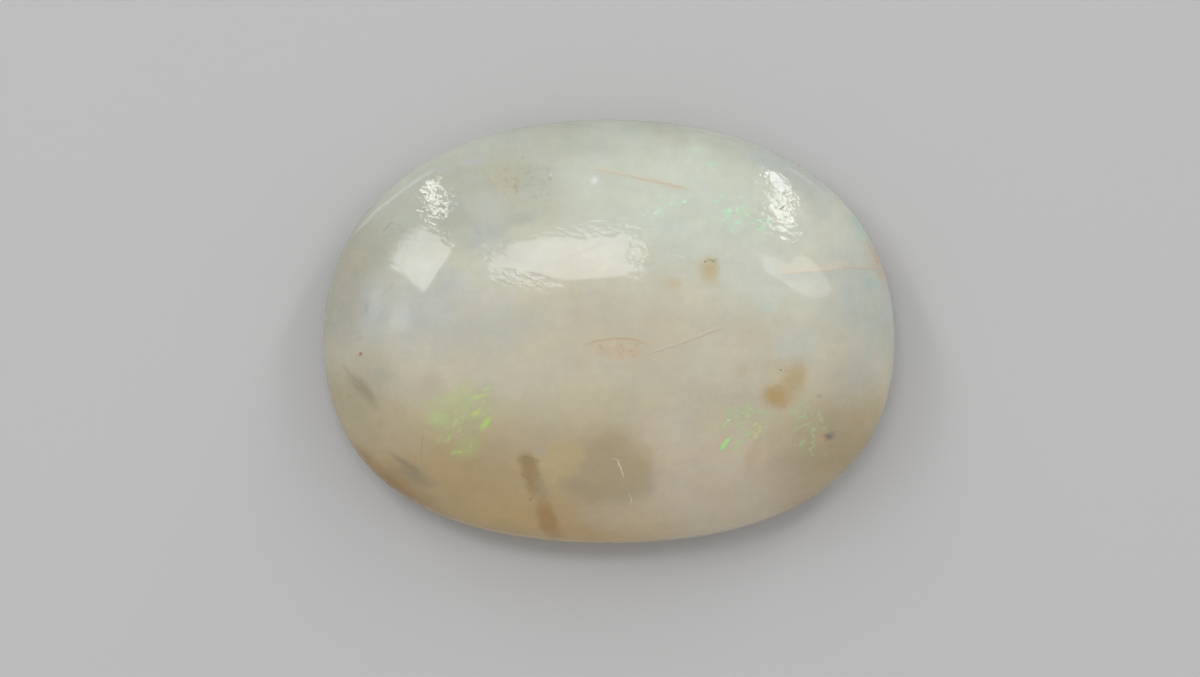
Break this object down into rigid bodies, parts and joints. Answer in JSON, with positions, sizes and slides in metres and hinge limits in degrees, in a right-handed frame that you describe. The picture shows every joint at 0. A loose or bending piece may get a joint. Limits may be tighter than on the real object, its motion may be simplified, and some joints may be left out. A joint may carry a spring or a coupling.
{
  "type": "polished opal cabochon",
  "caption": "Oval milky opal cabochon: a polished dome over a narrow girdle, with a flat back to rest or be set on.",
  "frame": {"origin": "middle of the flat back, on the surface that the stone rests on", "axes": "+X along the oval's long axis, +Y across it towards the side that is the upper one in the picture, +Z out of the top of the dome"},
  "size_m": [0.028, 0.0208, 0.0065],
  "materials": {
    "milky_opal": "glassy polish on milky, greyish cream opal"
  },
  "bodies": {
    "root": {"opal": "milky_opal"}
  },
  "joints": []
}
